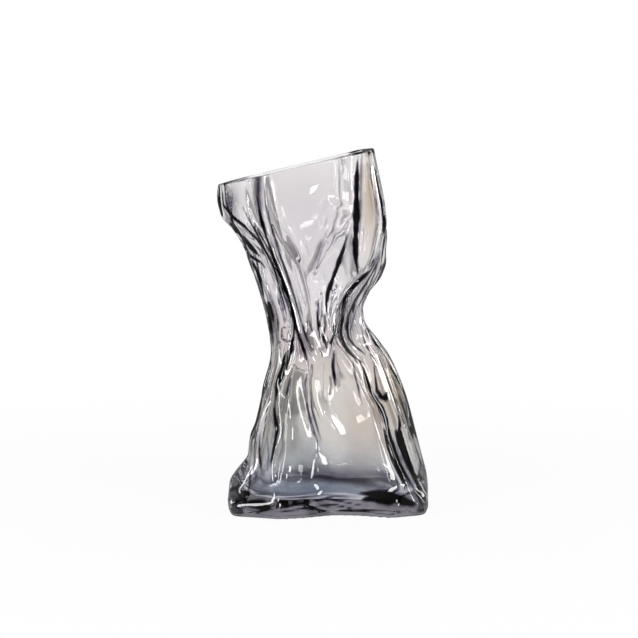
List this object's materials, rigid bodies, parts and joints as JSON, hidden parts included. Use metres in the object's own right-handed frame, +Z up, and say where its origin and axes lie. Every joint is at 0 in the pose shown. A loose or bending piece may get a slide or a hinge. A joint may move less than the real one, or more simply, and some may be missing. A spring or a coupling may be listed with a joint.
{
  "type": "glass vase",
  "caption": "Tall vase of smoke grey glass blown in the form of a crumpled paper bag, with a pinched waist, a slanting cut lip and a wide flat foot.",
  "frame": {"origin": "centre of the bounding box at its bottom, on the surface the vase stands on", "axes": "+Z up, -Y towards the front face with the long pleat, +X to the right of that face, where the lip is highest"},
  "size_m": [0.1262, 0.1012, 0.2127],
  "materials": {
    "smoke_glass": "clear, fire-polished"
  },
  "bodies": {
    "root": {"vase": "smoke_glass"}
  },
  "joints": []
}
